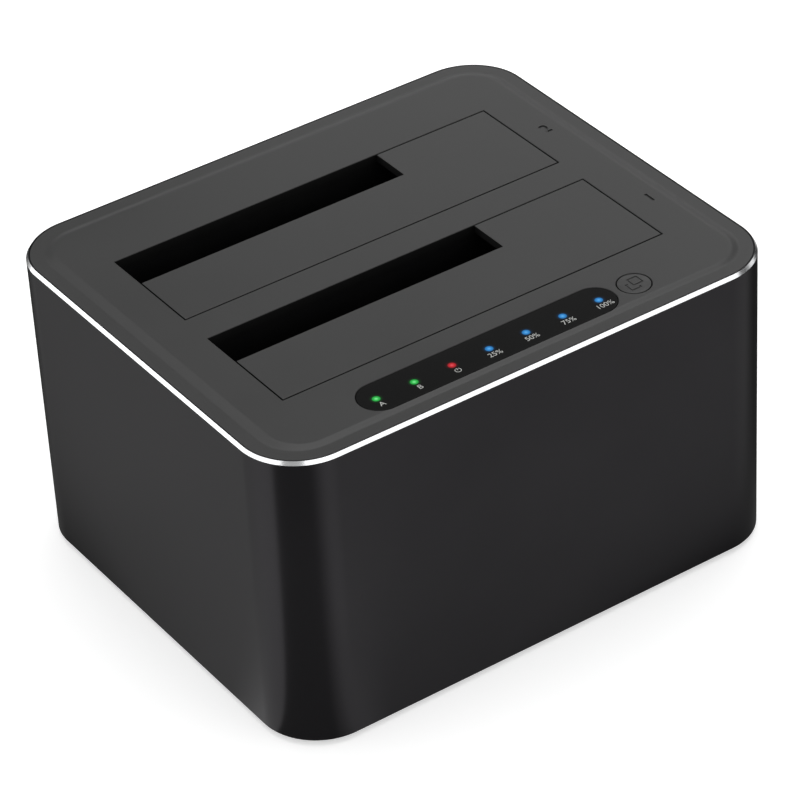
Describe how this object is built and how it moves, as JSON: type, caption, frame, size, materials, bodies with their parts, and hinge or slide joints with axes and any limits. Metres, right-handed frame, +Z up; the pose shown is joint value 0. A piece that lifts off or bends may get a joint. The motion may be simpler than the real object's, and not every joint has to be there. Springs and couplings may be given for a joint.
{
  "type": "drive docking station",
  "caption": "Rounded black box with a bright top chamfer that takes bare drives upright in sprung-flap bays, copies one to another and shows progress lights.",
  "frame": {"origin": "on the resting plane, under the middle of the case", "axes": "+X along the bays to the right, +Y to the back with its sockets, +Z up"},
  "size_m": [0.1366, 0.1154, 0.0788],
  "materials": {
    "anodised_sleeve": "satin black anodised, bright cut chamfer",
    "cover_plastic": "fine matt texture",
    "well_plastic": "moulded, dark",
    "base_plastic": "moulded, dark",
    "foot_rubber": "matt",
    "screw_steel": "zinc plated",
    "spring_steel": "drawn wire",
    "window_acrylic": "polished, smoked",
    "green_lens": "clear, lit green",
    "red_lens": "clear, lit red",
    "blue_lens": "clear, lit blue",
    "led_package": "cast",
    "board_laminate": "green solder resist",
    "socket_plastic": "moulded, dark",
    "gold_contacts": "gold flash",
    "shell_steel": "nickel plated",
    "usb_plastic": "moulded, blue",
    "chip_resin": "moulded",
    "ferrite": "pressed",
    "can_aluminium": "satin",
    "header_plastic": "moulded, ivory",
    "ribbon_pvc": "ribbed"
  },
  "bodies": {
    "housing": {"outer_sleeve": "anodised_sleeve", "top_cover": "cover_plastic", "base_plate": "base_plastic", "rubber_feet": "foot_rubber", "case_screws": "screw_steel", "rear_drive_well": "well_plastic", "front_drive_well": "well_plastic", "rear_flap_spring": "spring_steel", "front_flap_spring": "spring_steel", "rear_drive_socket": "socket_plastic", "front_drive_socket": "socket_plastic", "rear_socket_contacts": "gold_contacts", "front_socket_contacts": "gold_contacts", "indicator_window": "window_acrylic", "light_block": "well_plastic", "green_light_guides": "green_lens", "red_light_guides": "red_lens", "blue_light_guides": "blue_lens", "indicator_leds": "led_package", "indicator_board": "board_laminate", "indicator_board_screws": "screw_steel", "push_switch": "socket_plastic", "main_board": "board_laminate", "main_board_screws": "screw_steel", "usb_shell": "shell_steel", "usb_insert": "usb_plastic", "power_jack": "socket_plastic", "power_jack_pin": "shell_steel", "power_switch_frame": "socket_plastic", "bridge_chip": "chip_resin", "memory_chip": "chip_resin", "regulator_chips": "chip_resin", "power_inductors": "ferrite", "capacitors": "can_aluminium", "crystal_can": "shell_steel", "main_board_header": "header_plastic", "indicator_board_header": "header_plastic", "ribbon_cable": "ribbon_pvc"},
    "front_flap_body": {"front_flap": "cover_plastic", "front_hinge_rod": "screw_steel"},
    "rear_flap_body": {"rear_flap": "cover_plastic", "rear_hinge_rod": "screw_steel"},
    "clone_button_body": {"clone_button": "cover_plastic", "push_switch_plunger": "socket_plastic"},
    "power_rocker_body": {"power_rocker": "socket_plastic"}
  },
  "joints": [
    {"name": "front_flap_hinge", "type": "hinge", "parent": "housing", "child": "front_flap_body", "pos_m": [0, -0.03325, 0.0768], "axis": [-1, 0, 0], "range_deg": [0, 88], "stiffness_Nm_per_rad": 0.006, "springref_deg": -68.75, "deforming": ["front_flap_spring"]},
    {"name": "rear_flap_hinge", "type": "hinge", "parent": "housing", "child": "rear_flap_body", "pos_m": [0, 0.00595, 0.0768], "axis": [-1, 0, 0], "range_deg": [0, 88], "stiffness_Nm_per_rad": 0.006, "springref_deg": -68.75, "deforming": ["rear_flap_spring"]},
    {"name": "clone_button_press", "type": "slide", "parent": "housing", "child": "clone_button_body", "axis": [0, 0, -1], "range_m": [0, 0.0005], "stiffness_N_per_m": 2000, "springref_m": -0.0003},
    {"name": "power_rocker_turn", "type": "hinge", "parent": "housing", "child": "power_rocker_body", "pos_m": [0.04445, 0.0536, 0.0144], "axis": [0, 0, 1], "range_deg": [0, 16]}
  ]
}
